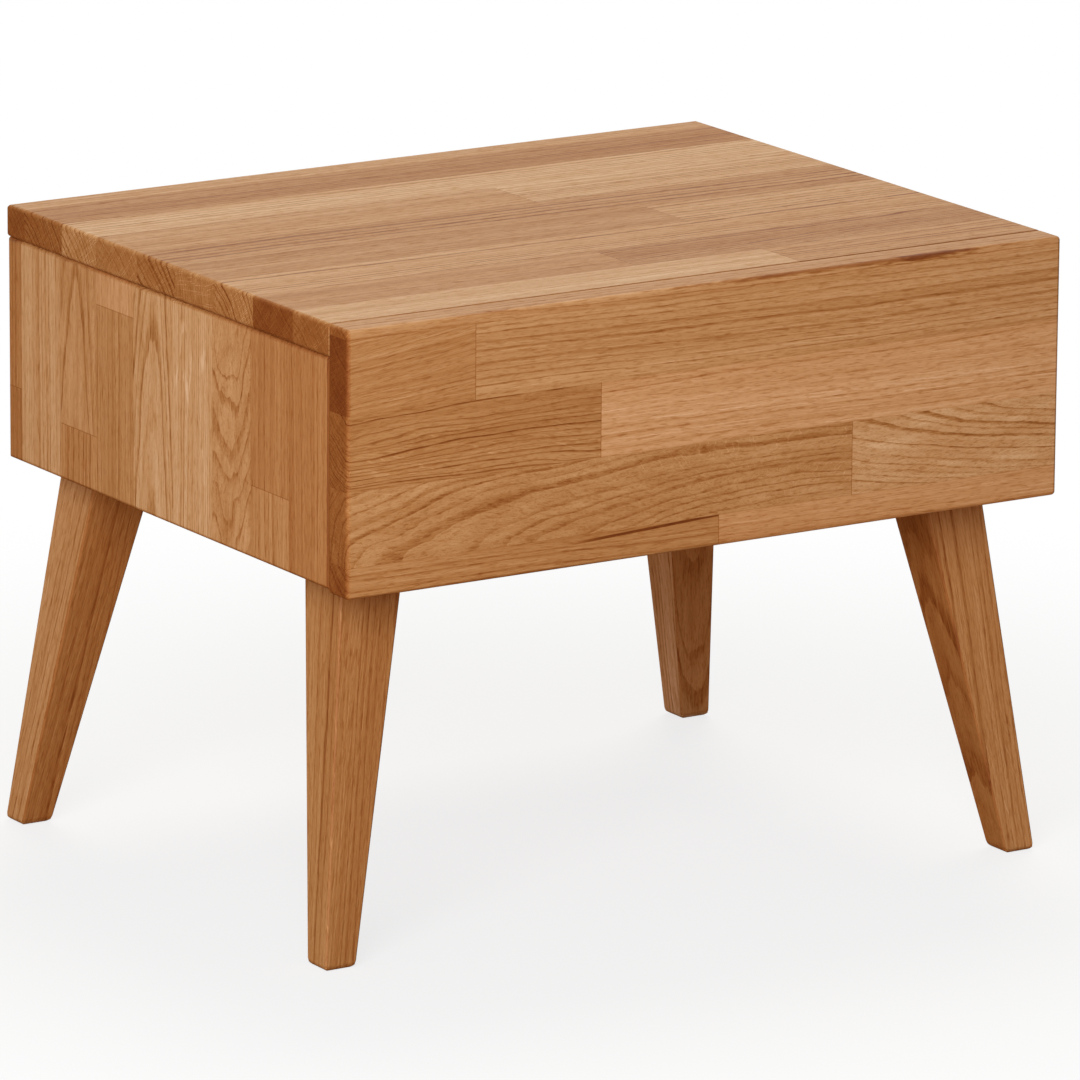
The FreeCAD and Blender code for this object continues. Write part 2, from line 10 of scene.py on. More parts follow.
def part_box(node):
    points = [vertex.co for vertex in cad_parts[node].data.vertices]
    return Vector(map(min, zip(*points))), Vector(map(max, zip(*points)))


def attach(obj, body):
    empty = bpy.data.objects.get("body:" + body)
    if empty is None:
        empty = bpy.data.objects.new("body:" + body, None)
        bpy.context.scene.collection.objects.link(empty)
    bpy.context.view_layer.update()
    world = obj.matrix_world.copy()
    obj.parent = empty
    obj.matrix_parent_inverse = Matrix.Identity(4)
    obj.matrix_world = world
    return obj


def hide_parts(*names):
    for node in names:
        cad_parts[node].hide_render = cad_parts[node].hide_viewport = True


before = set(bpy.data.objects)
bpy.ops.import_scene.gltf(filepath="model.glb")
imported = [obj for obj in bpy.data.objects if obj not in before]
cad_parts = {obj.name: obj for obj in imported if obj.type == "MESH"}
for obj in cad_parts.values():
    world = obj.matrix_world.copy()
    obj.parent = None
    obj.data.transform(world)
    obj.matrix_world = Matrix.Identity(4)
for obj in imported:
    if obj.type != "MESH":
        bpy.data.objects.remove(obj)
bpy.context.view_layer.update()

MM = 0.001
X, Y, Z = 0, 1, 2
SIDES = {"left": -1, "right": 1}
FORWARD, LEFTWARD = Vector((0, -1, 0)), Vector((-1, 0, 0))
# A board's axes: along its grain, across it and through the board
FLAT, UPRIGHT, FACING, LENGTHWISE = (X, Y, Z), (Z, Y, X), (X, Z, Y), (Y, Z, X)
STANDING, EDGEWISE = (Z, X, Y), (Y, X, Z)


# Shader maths

class Wire:
    """A node's socket used as a value: sums and products of wires add Math nodes to its tree."""

    def __init__(self, tree, socket=None):
        self.tree = tree
        self.socket = socket

    def node(self, kind, settings=None, values=None, output=0):
        """Adds any node: its settings first, then values or wires on its inputs; gives one of its outputs."""
        made = self.tree.nodes.new(kind)
        for name, setting in (settings or {}).items():
            setattr(made, name, setting)
        for key, value in (values or {}).items():
            if isinstance(value, Wire):
                self.tree.links.new(value.socket, made.inputs[key])
            else:
                made.inputs[key].default_value = value
        return Wire(self.tree, made.outputs[output])

    def maths(self, operation, *values):
        return self.node("ShaderNodeMath", {"operation": operation}, dict(enumerate(values)))

    def vectors(self, operation, *values, output=0):
        return self.node("ShaderNodeVectorMath", {"operation": operation}, dict(enumerate(values)), output)

    def __add__(self, other):
        return self.maths("ADD", self, other)

    def __sub__(self, other):
        return self.maths("SUBTRACT", self, other)

    def __rsub__(self, other):
        return self.maths("SUBTRACT", other, self)

    def __mul__(self, other):
        return self.maths("MULTIPLY", self, other)

    def __truediv__(self, other):
        return self.maths("DIVIDE", self, other)

    __radd__ = __add__
    __rmul__ = __mul__

    def rise(self, low, high):
        """0 below low, 1 above high, and smooth between them."""
        values = {"Value": self, "From Min": low, "From Max": high}
        return self.node("ShaderNodeMapRange", {"interpolation_type": "SMOOTHSTEP"}, values)

    def parts(self):
        """The three numbers of a vector."""
        split = self.node("ShaderNodeSeparateXYZ", {}, {0: self}).socket.node
        return [Wire(self.tree, socket) for socket in split.outputs]

    def times(self, amount):
        """A colour or vector made larger or smaller by one number."""
        return self.node("ShaderNodeVectorMath", {"operation": "SCALE"}, {0: self, "Scale": amount})

    def mixed(self, other, share):
        """From this colour to the other one."""
        return self.node("ShaderNodeMix", {"data_type": "RGBA"}, {0: share, 6: self, 7: other}, output=2)

    def attribute(self, name):
        return self.node("ShaderNodeAttribute", {"attribute_name": name}, output="Vector")

    def stretched_noise(self, scale, detail=2.0, output=0):
        """Noise over this place, with its own number of cycles per metre on each axis."""
        place = self.vectors("MULTIPLY", self, scale)
        return self.node("ShaderNodeTexNoise", {}, {"Vector": place, "Scale": 1.0, "Detail": detail}, output)

    def joined(self, *others):
        """This geometry and the others as one."""
        one = self.node("GeometryNodeJoinGeometry")
        for piece in (self, *others):
            self.tree.links.new(piece.socket, one.socket.node.inputs[0])
        return one


def linear(red, green, blue):
    """A screen colour, 0 to 255, as the linear colour that sockets take."""
    def channel(value):
        share = value / 255
        return share / 12.92 if share <= 0.04045 else ((share + 0.055) / 1.055) ** 2.4
    return (channel(red), channel(green), channel(blue), 1.0)


def new_material(name):
    """A material with a bare Principled shader, and a wire to build on."""
    material = bpy.data.materials.new(name)
    material.use_nodes = True
    shader = material.node_tree.nodes["Principled BSDF"]
    return material, shader, Wire(material.node_tree)


def plug(shader, **wires):
    """Links wires to the shader's inputs, which are named with _ for each space."""
    for name, wire in wires.items():
        wire.tree.links.new(wire.socket, shader.inputs[name.replace("_", " ")])


# Wood

# The denser the wood, the darker it is, and its green and blue fade faster than its red
DEEPENING = (1.0, 1.7, 2.8)
# What a reddish stave keeps of a plain one's red, green and blue
REDDENING = (1.04, 0.95, 0.92)
WoodLook = namedtuple("WoodLook", "colour rings pores rays end roughness")
OILED_OAK = WoodLook(linear(206, 152, 99), rings=0.62, pores=0.28, rays=0.16, end=0.62, roughness=0.5)
CLEAR_BIRCH = WoodLook(linear(222, 189, 144), rings=0.14, pores=0.1, rays=0.05, end=0.3, roughness=0.45)
PLAIN_BEECH = WoodLook(linear(220, 182, 136), rings=0.1, pores=0.12, rays=-0.12, end=0.25, roughness=0.55)

# Cycles per metre along the grain and both ways across it
SLOW_WANDER = (2.5, 18, 18)
QUICK_WANDER = (14, 90, 90)
BANDS = (1.6, 55, 55)
DASHES = (46, 640, 640)
FLECKS = (85, 800, 800)
PORES = (170, 2400, 2400)
RAGGED = (75, 500, 500)
# Cycles per metre along the grain and out from the pith, and per radian around it or per sheet of rays
LAYERS = (2.2, 300, 9)
FLAKES = (26, 70, 3.7)
UNEVEN_RINGS = 150
RAY_SHEETS_PER_RADIAN = 105

# The satin oil: how much of it lies on a face, and what the open ends and the pores lose of it
OIL, OIL_LOST_AT_ENDS, OIL_LOST_IN_PORES = 0.35, 0.32, 0.18
OIL_ROUGHNESS = 0.5
WOOD_SHINE = 0.2

# A dark ragged streak on the surface: where its middle is, how far it reaches each way, and how deep its tone
# is
Streak = namedtuple("Streak", "middle reach tone")


def wandering(grain, waves, reach, detail):
    """How far the grain strays from a straight line."""
    noise = grain.stretched_noise(waves, detail, output=1)
    return noise.vectors("MULTIPLY_ADD", noise, (0, reach, reach), (0, -reach / 2, -reach / 2))


def early_wood(wire, radius, pitch):
    """The porous wood at the start of each year's ring, stronger in some years than in others."""
    uneven = wire.node("ShaderNodeTexNoise", {"noise_dimensions": "1D"},
                       {"W": radius * UNEVEN_RINGS, "Scale": 1.0})
    rings = radius / pitch + uneven * 1.3
    year = wire.node("ShaderNodeTexWhiteNoise", {"noise_dimensions": "1D"}, {"W": rings.maths("FLOOR", rings)})
    phase = rings.maths("FRACT", rings)
    return phase.rise(0, 0.06) * (1 - phase.rise(0.1, 0.45)) * (0.12 + year * 0.88)


def ray_flakes(wire, length, radius, turn):
    """Pale flakes of the rays, which stand around the pith like thin sheets."""
    fans = turn * RAY_SHEETS_PER_RADIAN
    from_sheet = fans.maths("ABSOLUTE", fans.maths("FRACT", fans) - 0.5)
    sheets = {0: length, 1: radius, 2: fans.maths("FLOOR", fans)}
    flakes = wire.node("ShaderNodeCombineXYZ", {}, sheets).stretched_noise(FLAKES, 0.0)
    return flakes.rise(0.52, 0.6) * (1 - from_sheet.rise(0.05, 0.12))


def joint_lines(seam, butt):
    """Thin lines along the joints between staves, darker where the staves meet end to end."""
    return (1 - seam.rise(0.1 * MM, 0.3 * MM)) * 0.1 + (1 - butt.rise(0.1 * MM, 0.4 * MM)) * 0.35


def gum_vein(high_seam, far_butt, gum):
    """A dark vein of gum that leaves a stave's far upper corner at a small angle to its joint."""
    off_vein = high_seam - far_butt * 0.045
    beside = off_vein.maths("ABSOLUTE", off_vein)
    return (1 - beside.rise(0.5 * MM, 1.1 * MM)) * (1 - far_butt.rise(80 * MM, 110 * MM)) * gum


def streak_tone(wire, streak):
    """How much deeper a ragged streak makes the wood around its middle."""
    place = wire.node("ShaderNodeTexCoord", output="Object")
    ragged = place.stretched_noise(RAGGED, 2.0) - 0.5
    away = place.vectors("DIVIDE", place.vectors("SUBTRACT", place, streak.middle), streak.reach)
    distance = away.vectors("LENGTH", away, output="Value") + ragged * 1.3
    return (1 - distance.rise(0.4, 1.0)) * streak.tone


def wood_material(name, look, streaks=()):
    """Sawn wood that reads each stave's place in its log from the mesh, so that rings, rays and ends agree."""
    material, shader, wire = new_material(name)
    grain = wire.attribute("grain")
    tone, red, pitch = wire.attribute("stave").parts()
    contrast, wave, gum = wire.attribute("figure").parts()
    low_seam, high_seam, end = wire.attribute("seams").parts()
    near_butt, far_butt, end_tone = wire.attribute("butts").parts()
    # Painted shade: how much darker the faces and edges that lie in shadow are painted
    painted_shade = wire.node("ShaderNodeAttribute", {"attribute_name": "painted_shade"}, output="Fac")

    slow = wandering(grain, SLOW_WANDER, 12 * MM, 1.0)
    quick = wandering(grain, QUICK_WANDER, 2.6 * MM, 2.0)
    log = grain.vectors("ADD", grain, slow.vectors("ADD", slow, quick).times(wave))
    length, side, depth = log.parts()
    radius = log.vectors("LENGTH", log.vectors("MULTIPLY", log, (0, 1, 1)), output="Value")
    turn = depth.maths("ARCTAN2", depth, side)
    around = wire.node("ShaderNodeCombineXYZ", {}, {0: length, 1: radius, 2: turn})

    early = early_wood(wire, radius, pitch)
    layers = around.stretched_noise(LAYERS, 3.0) - 0.5
    bands = log.stretched_noise(BANDS, 2.0) - 0.5
    dashes = log.stretched_noise(DASHES, 2.0).rise(0.42, 0.6)
    flecks = log.stretched_noise(FLECKS, 1.0).rise(0.54, 0.68)
    pores = log.stretched_noise(PORES, 1.0).rise(0.54, 0.68)
    rays = ray_flakes(wire, length, radius, turn) * (1 + end * 1.5)
    seam = low_seam.maths("MINIMUM", low_seam, high_seam)
    butt = near_butt.maths("MINIMUM", near_butt, far_butt)
    joint = joint_lines(seam, butt)

    lines = early * contrast * (0.5 + dashes * 0.5)
    specks = flecks * (0.5 + early * 0.5) + pores * 0.6
    density = lines * look.rings + specks * look.pores + layers * 0.45 + bands * 0.35 - rays * look.rays
    # The painted shade stored on the mesh darkens the tone here, along with the joints, gum veins and end grain
    density = density + joint + gum_vein(high_seam, far_butt, gum) + painted_shade + end * end_tone * look.end - tone
    for streak in streaks:
        density = density + streak_tone(wire, streak)
    plain = wire.node("ShaderNodeCombineColor", {}, {
        number: base * wire.maths("POWER", math.exp(-deepening), density)
        for number, (base, deepening) in enumerate(zip(look.colour, DEEPENING))})
    colour = plain.mixed(plain.vectors("MULTIPLY", plain, REDDENING), red)

    height = dashes * -0.25 - flecks * 0.3 - pores * 0.5 - early * 0.25 - joint
    bump = wire.node("ShaderNodeBump", {}, {"Strength": 0.25, "Distance": 0.4 * MM, "Height": height})
    shader.inputs["Specular IOR Level"].default_value = WOOD_SHINE
    shader.inputs["Coat Roughness"].default_value = OIL_ROUGHNESS
    plug(shader, Base_Color=colour, Roughness=look.roughness + specks * 0.2 + end * 0.2 + bands * 0.15,
         Coat_Weight=OIL - end * OIL_LOST_AT_ENDS - specks * OIL_LOST_IN_PORES, Normal=bump)
    return material


# How a stave was sawn from its log: how far its middle lies aside of the pith and above it, how the pith tilts
# through the stave's thickness and leans across its face, how wide the rings are, and how much they show and
# wave
Figure = namedtuple("Figure", "aside below tilt lean pitch contrast wave")
FIGURES = {
    "plain": Figure(aside=0.012, below=0.150, tilt=0.020, lean=0.006, pitch=0.0030, contrast=0.7, wave=1.0),
    "flame": Figure(aside=0.004, below=0.045, tilt=0.060, lean=0.010, pitch=0.0034, contrast=1.0, wave=1.1),
    "rift": Figure(aside=0.085, below=0.085, tilt=0.010, lean=0.008, pitch=0.0032, contrast=0.8, wave=1.0),
    "quarter": Figure(aside=0.120, below=0.020, tilt=0.008, lean=0.004, pitch=0.0024, contrast=0.7, wave=0.7),
    "calm": Figure(aside=0.085, below=0.100, tilt=0.010, lean=0.005, pitch=0.0030, contrast=0.45, wave=0.8),
    "wavy": Figure(aside=0.060, below=0.040, tilt=0.040, lean=0.010, pitch=0.0023, contrast=1.7, wave=2.2),
    "lined": Figure(aside=0.085, below=0.085, tilt=0.012, lean=0.012, pitch=0.0036, contrast=1.6, wave=1.1),
    "slant": Figure(aside=0.085, below=0.085, tilt=0.010, lean=-0.090, pitch=0.0030, contrast=0.5, wave=1.6),
    "fan": Figure(aside=-0.036, below=0.032, tilt=-0.200, lean=0.010, pitch=0.0038, contrast=0.8, wave=1.7),
    "swirl": Figure(aside=0.045, below=-0.028, tilt=0.200, lean=0.020, pitch=0.0034, contrast=1.0, wave=1.2),
    "turned": Figure(aside=0.045, below=0.006, tilt=0.010, lean=-0.050, pitch=0.0034, contrast=0.75, wave=1.6),
    "bent": Figure(aside=0.008, below=0.045, tilt=-0.040, lean=0.010, pitch=0.0040, contrast=0.9, wave=1.6),
    "arch": Figure(aside=0.003, below=0.042, tilt=-0.230, lean=0.010, pitch=0.0056, contrast=0.9, wave=2.6),
}
Stave = namedtuple("Stave", "along across tone red figure end_tone gum", defaults=(1, 0))


def staves_of(rows, low, start, first=0):
    """Staves from rows of (far edge, [(end of the stave, tone, redness, figure, end tone, gum), ...]).

    Edges and ends are in millimetres from low and start, and first is the near edge of the first row.
    """
    staves = []
    near = first * MM
    for far, pieces in rows:
        begin = 0
        for end, *look in pieces:
            along = (start + begin * MM, start + end * MM)
            staves.append(Stave(along, (low + near, low + far * MM), *look))
            begin = end
        near = far * MM
    return staves


# What the draw for an unseen board chooses from
STAVE_WIDTH = 45 * MM
FIRST_WIDTHS = (0.4, 1)
FIRST_LENGTHS = (120 * MM, 420 * MM)
OTHER_LENGTHS = (180 * MM, 420 * MM)
TONES = (-0.1, 0.12)
REDNESS = (0, 0.6)
COMMON_FIGURES = ["plain", "flame", "rift", "rift", "quarter", "calm", "wavy"]


def random_staves(name, axes):
    """Staves of a board whose real joints can't be seen, from a draw that is fixed by the board's name."""
    draw = random.Random(name)
    low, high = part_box(name)
    start, near = (low[axis] for axis in axes[:2])
    stop, limit = (high[axis] for axis in axes[:2])
    staves = []
    far = near + STAVE_WIDTH * draw.uniform(*FIRST_WIDTHS)
    while near < limit:
        begin = start
        finish = begin + draw.uniform(*FIRST_LENGTHS)
        while begin < stop:
            along, across = (begin, min(finish, stop)), (near, min(far, limit))
            figure = draw.choice(COMMON_FIGURES)
            staves.append(Stave(along, across, draw.uniform(*TONES), draw.uniform(*REDNESS), figure))
            begin = finish
            finish += draw.uniform(*OTHER_LENGTHS)
        near = far
        far += STAVE_WIDTH
    return staves


def whole_board(name, axes, tone=0, red=0, figure="plain"):
    """One stave as large as the board."""
    low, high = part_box(name)
    along, across = ((low[axis], high[axis]) for axis in axes[:2])
    return [Stave(along, across, tone, red, figure)]


def merged_copy(node):
    """A node's solid as a clean mesh: its loose triangles merged and its flat faces whole."""
    solid = bmesh.new()
    solid.from_mesh(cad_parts[node].data)
    bmesh.ops.remove_doubles(solid, verts=solid.verts, dist=1e-6)
    bmesh.ops.dissolve_limit(solid, angle_limit=math.radians(0.5), verts=solid.verts, edges=solid.edges)
    return solid


def ease_edges(solid, width, sharper_than=50, longer_than=0):
    """Breaks the edges that are sharp and long enough."""
    sharp = [edge for edge in solid.edges if edge.is_manifold and edge.calc_length() > longer_than
             and edge.calc_face_angle() > math.radians(sharper_than)]
    bmesh.ops.bevel(solid, geom=sharp, offset=width, segments=3, profile=0.5, affect="EDGES",
                    clamp_overlap=True)


def cut(solid, axis, value, faces):
    """Cuts the given faces along a plane across one axis."""
    normal = Vector((0, 0, 0))
    normal[axis] = 1
    geometry = dict.fromkeys(faces)
    for face in faces:
        geometry.update(dict.fromkeys((*face.edges, *face.verts)))
    bmesh.ops.bisect_plane(solid, geom=list(geometry), plane_co=normal * value, plane_no=normal, dist=1e-7)


# The legs' own sizes, as in the solids, and the round that takes the place of the chamfer at their feet
LEG_HEIGHT, LEG_TOP, LEG_FOOT, LEG_SPLAY = 230 * MM, 42.5 * MM, 21 * MM, 27 * MM
LEG_SLOPE = (LEG_SPLAY + (LEG_TOP - LEG_FOOT) / 2) / LEG_HEIGHT
FOOT_CHAMFER = 2.5 * MM
FOOT_ROUND = 4.25 * MM
FOOT_STEPS = 6


def round_foot(solid):
    """Rounds a leg's chamfered foot: cuts rings near the floor and moves each one to a quarter of a circle."""
    for step in range(1, FOOT_STEPS + 1):
        cut(solid, Z, FOOT_ROUND * (1 - math.cos(math.pi / 2 * step / FOOT_STEPS)), solid.faces[:])
    sole = [vertex.co for vertex in solid.verts if vertex.co.z < 0.01 * MM]
    middle = Vector(((min(spots) + max(spots)) / 2 for spots in zip(*sole)))
    slope = Vector((math.copysign(LEG_SLOPE, middle.x), math.copysign(LEG_SLOPE, middle.y), 0))
    for vertex in solid.verts:
        height = max(vertex.co.z, 0)
        if height < FOOT_ROUND:
            chamfer = max(FOOT_CHAMFER - height, 0)
            curve = FOOT_ROUND - math.sqrt(FOOT_ROUND ** 2 - (FOOT_ROUND - height) ** 2)
            share = (LEG_FOOT / 2 - curve) / (LEG_FOOT / 2 - chamfer)
            axis = middle - slope * height
            vertex.co.xy = axis.xy + (vertex.co.xy - axis.xy) * share


def cut_staves(solid, staves, axes):
    """Cuts a board's faces along the joints between its staves."""
    along, across, _ = axes
    for value in sorted({stave.across[1] for stave in staves}):
        cut(solid, across, value, solid.faces[:])
    for stave in staves:
        low, high = stave.across
        row = [face for face in solid.faces if low < face.calc_center_median()[across] < high]
        cut(solid, along, stave.along[1], row)


def joint_or_far(joint, board_edge, way):
    """Where a stave's joint is, or a place far off where the stave ends at the board's own edge instead."""
    return joint if (board_edge - joint) * way > 1 * MM else board_edge + way


def nearest_stave(staves, u, v):
    """The number of the stave that holds the place, or of the one that it is least outside of."""
    def outside(stave):
        beyond_end = max(stave.along[0] - u, u - stave.along[1], 0)
        beyond_side = max(stave.across[0] - v, v - stave.across[1], 0)
        return beyond_end + beyond_side
    return min(range(len(staves)), key=lambda index: outside(staves[index]))


# How far a face looks the given way where it counts as one of that side's faces, or as one of its edges
FACE_TURN, EDGE_TURN, UNDERSIDE_TURN = 0.95, 0.2, -0.5
# How much staves of one figure differ: in the width of their rings, in their place along the log and in the
# tone of their ends
RING_SPREAD, LOG_SHIFTS, END_SPREAD = (0.8, 1.25), (0, 2), (0.85, 1.15)


def mark_painted_shade(mesh, way, shade_on_face, shade_on_edges):
    """Stores the painted shade: how much darker the wood is painted on the faces that look one way, and on
    their broken edges.
    """
    shades = []
    for polygon in mesh.polygons:
        turn = polygon.normal.dot(way)
        on_edge = turn > EDGE_TURN and polygon.normal.z > UNDERSIDE_TURN
        shade = shade_on_face if turn > FACE_TURN else shade_on_edges if on_edge else 0
        shades += [shade] * polygon.loop_total
    mesh.attributes.new("painted_shade", "FLOAT", "CORNER").data.foreach_set("value", shades)


def mark_grain(mesh, staves, axes, name, end_tone):
    """Stores on each corner where it lies in its stave and in the log that the stave was sawn from."""
    draw = random.Random(name)
    along, across, through = axes
    logs = [FIGURES[stave.figure]._replace(pitch=FIGURES[stave.figure].pitch * draw.uniform(*RING_SPREAD))
            for stave in staves]
    shifts = [draw.uniform(*LOG_SHIFTS) for stave in staves]
    end_tones = [end_tone * stave.end_tone * draw.uniform(*END_SPREAD) for stave in staves]
    spread = [[vertex.co[axis] for vertex in mesh.vertices] for axis in axes]
    lows = [min(values) for values in spread]
    highs = [max(values) for values in spread]
    middle = (lows[2] + highs[2]) / 2
    corners = {key: [None] * len(mesh.loops) for key in ("grain", "stave", "figure", "seams", "butts")}
    for polygon in mesh.polygons:
        centre = polygon.center
        index = nearest_stave(staves, centre[along], centre[across])
        stave, log = staves[index], logs[index]
        starts = [joint_or_far(edges[0], low, -1) for edges, low in zip((stave.along, stave.across), lows)]
        ends = [joint_or_far(edges[1], high, 1) for edges, high in zip((stave.along, stave.across), highs)]
        for loop in polygon.loop_indices:
            spot = mesh.vertices[mesh.loops[loop].vertex_index].co
            u, v = spot[along], spot[across]
            out = u - sum(stave.along) / 2
            side = v - sum(stave.across) / 2 - log.aside + out * log.lean
            depth = spot[through] - middle + log.below + out * log.tilt
            end = abs(mesh.corner_normals[loop].vector[along])
            corners["grain"][loop] = (out + shifts[index], side, depth)
            corners["stave"][loop] = (stave.tone, stave.red, log.pitch)
            corners["figure"][loop] = (log.contrast, log.wave, stave.gum)
            corners["seams"][loop] = (v - starts[1], ends[1] - v, end)
            corners["butts"][loop] = (u - starts[0], ends[0] - u, end_tones[index])
    for key, vectors in corners.items():
        layer = mesh.attributes.new(key, "FLOAT_VECTOR", "CORNER")
        layer.data.foreach_set("vector", [number for vector in vectors for number in vector])


def plain_mesh(made, name):
    """Turns what an object's modifiers make into its own mesh."""
    old = made.data
    plain = bpy.data.meshes.new_from_object(made.evaluated_get(bpy.context.evaluated_depsgraph_get()))
    made.modifiers.clear()
    made.data = plain
    bpy.data.meshes.remove(old)
    plain.name = name


def smoothed(mesh, sharper_than=35):
    """Shades a mesh smooth, but for its edges that are sharper than the angle."""
    for polygon in mesh.polygons:
        polygon.use_smooth = True
    mesh.set_sharp_from_angle(angle=math.radians(sharper_than))


def finished(name, solid):
    """An object from a mesh under work, with smooth rounds and flat faces."""
    mesh = bpy.data.meshes.new(name)
    solid.to_mesh(mesh)
    solid.free()
    smoothed(mesh)
    made = bpy.data.objects.new(name, mesh)
    bpy.context.scene.collection.objects.link(made)
    even = made.modifiers.new("even", "WEIGHTED_NORMAL")
    even.keep_sharp = True
    even.weight = 100
    plain_mesh(made, name)
    return made


def belongs(piece, body, slot, *nodes):
    """Says which body a piece rides on and which nodes it takes the place of; the slot is not used."""
    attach(piece, body)
    if nodes:
        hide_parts(*nodes)


# No painted shade on any face
NO_PAINTED_SHADE = (FORWARD, 0, 0)
BOARD_EASING = {"width": 0.6 * MM}


def make_board(node, body, slot, material, staves, axes, end_tone=1.0, painted_shade=NO_PAINTED_SHADE, shape=None, **easing):
    """A board in place of a node, cut along its staves."""
    solid = merged_copy(node)
    ease_edges(solid, **(easing or BOARD_EASING))
    if shape:
        shape(solid)
    cut_staves(solid, staves, axes)
    board = finished(f"{node}_wood", solid)
    mark_grain(board.data, staves, axes, node, end_tone)
    # Paints shade on the faces that look one way, and on their broken edges
    mark_painted_shade(board.data, *painted_shade)
    board.data.materials.append(material)
    belongs(board, body, slot, node)


# Cabinet boards: the joints and figures that the photo shows, in millimetres from each board's own edges

FRONT_ROWS = [
    (17, [(256, -0.04, 0.1, "rift", 1, 0.9), (500, 0.08, 0.7, "calm")]),
    (62, [(350.5, -0.01, 0.0, "fan", 0.85), (500, 0.15, 0.0, "swirl")]),
    (107, [(173, -0.06, 0.0, "wavy", 0.8), (500, 0.15, 0.6, "calm")]),
    (152, [(86.5, -0.06, 0.1, "slant", 1.3), (500, 0.05, 0.0, "rift")]),
    (158, [(500, 0.05, 0.2, "rift")]),
]
TOP_ROWS = [
    (39.6, [(326, 0.2, 0, "calm", 2.5), (500, 0.05, 0.1, "lined")]),
    (84.5, [(236, -0.04, 0.2, "calm", 3.0), (500, -0.1, 0, "wavy")]),
    (130, [(500, 0.13, 0.05, "lined", 1.2)]),
    (175, [(330, -0.04, 0.05, "quarter", 0.6), (500, 0.14, 0, "lined")]),
    (220, [(500, -0.06, 0.05, "lined", 0.8)]),
    (269, [(280, 0.07, 0.05, "calm", 1.1), (500, 0.22, 0, "lined")]),
    (311, [(500, 0.27, 0, "lined", 1.1)]),
    (357, [(500, -0.1, 0.15, "lined", 1.2)]),
    (378, [(500, 0.13, 0.15, "rift", 2.6)]),
]
SIDE_ROWS = [
    (43.7, [(138, -0.13, 0.5, "calm")]),
    (87.4, [(44, -0.01, 0.3, "rift"), (138, -0.11, 0.5, "calm")]),
    (131.7, [(138, 0.07, 0.3, "arch")]),
    (178, [(138, 0.21, 0.0, "quarter")]),
    (225, [(138, 0.19, 0.0, "flame")]),
    (269, [(117, -0.03, 0.15, "rift"), (138, 0.14, 0.6, "calm")]),
    (312.8, [(35, -0.02, 0.4, "rift"), (138, 0.06, 0.2, "flame")]),
    (361, [(138, 0.17, 0.1, "rift")]),
    (378, [(46, -0.14, 0.5, "rift"), (138, -0.08, 0.5, "rift")]),
]

# The cabinet's front edges and their arrises, darkened with painted shade in the gap where the drawer front
# closes on them
SHADE_BEHIND_DRAWER_FRONT = (FORWARD, 0.35, 0.8)
TOP_END_TONE = 0.47
FRONT_DROP = 2

oak = wood_material("oiled_oak", OILED_OAK)
left, front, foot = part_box("left_side_panel")[0]
face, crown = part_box("drawer_front")[0].y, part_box("drawer_front")[1].z
# The drawer front's upper edge has a long faint streak and, within it, a short dark one
streaked_oak = wood_material("streaked_oak", OILED_OAK, [
    Streak((90 * MM, face, crown), (170 * MM, 3.2 * MM, 3.2 * MM), 0.5),
    Streak((155 * MM, face, crown), (40 * MM, 4.5 * MM, 4.5 * MM), 0.6),
])
front_staves = staves_of(FRONT_ROWS, foot, left, -FRONT_DROP)
make_board("drawer_front", "drawer", "oak", streaked_oak, front_staves, FACING)
CARCASS_BOARDS = {
    "top_panel": (staves_of(TOP_ROWS, front, left), FLAT, TOP_END_TONE),
    "left_side_panel": (staves_of(SIDE_ROWS, front, foot), UPRIGHT, 1),
    "right_side_panel": (random_staves("right_side_panel", UPRIGHT), UPRIGHT, 1),
    "bottom_panel": (random_staves("bottom_panel", FLAT), FLAT, 1),
}
for node, (staves, axes, end_tone) in CARCASS_BOARDS.items():
    make_board(node, "carcass", "oak", oak, staves, axes, end_tone, SHADE_BEHIND_DRAWER_FRONT)
make_board("back_panel", "carcass", "back_board", oak, random_staves("back_panel", FACING), FACING)


# Legs, each sawn from one piece with its grain along its own slope: their tone, redness and figure, which way
# the face with painted shade looks, and how much painted shade darkens it

LEGS = {
    "front_left_leg": (-0.13, 0.0, "rift", FORWARD, 0.1),
    "front_right_leg": (-0.09, 0.3, "turned", LEFTWARD, 0.26),
    "back_left_leg": (0.05, 0.3, "rift", FORWARD, 0.34),
    "back_right_leg": (0.3, 1, "bent", FORWARD, 0.4),
}
LEG_END_TONE = 0.15
# Extra painted shade on the legs' broken edges beside that face, which dims the highlight they catch
LEG_EDGE_SHADE = 0.1
LEG_EASING = {"width": 0.35 * MM, "sharper_than": 30}
for node, (tone, red, figure, way, depth) in LEGS.items():
    low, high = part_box(node)
    sawn = FIGURES[figure]
    FIGURES[node] = sawn._replace(lean=sawn.lean + math.copysign(LEG_SLOPE, low.x + high.x),
                                  tilt=sawn.tilt + math.copysign(LEG_SLOPE, low.y + high.y))
    make_board(node, "carcass", "oak", oak, whole_board(node, STANDING, tone, red, node), STANDING,
               LEG_END_TONE, (way, depth, depth + LEG_EDGE_SHADE), round_foot, **LEG_EASING)


# Drawer box with its base, and the loose tongues in the cabinet's joints

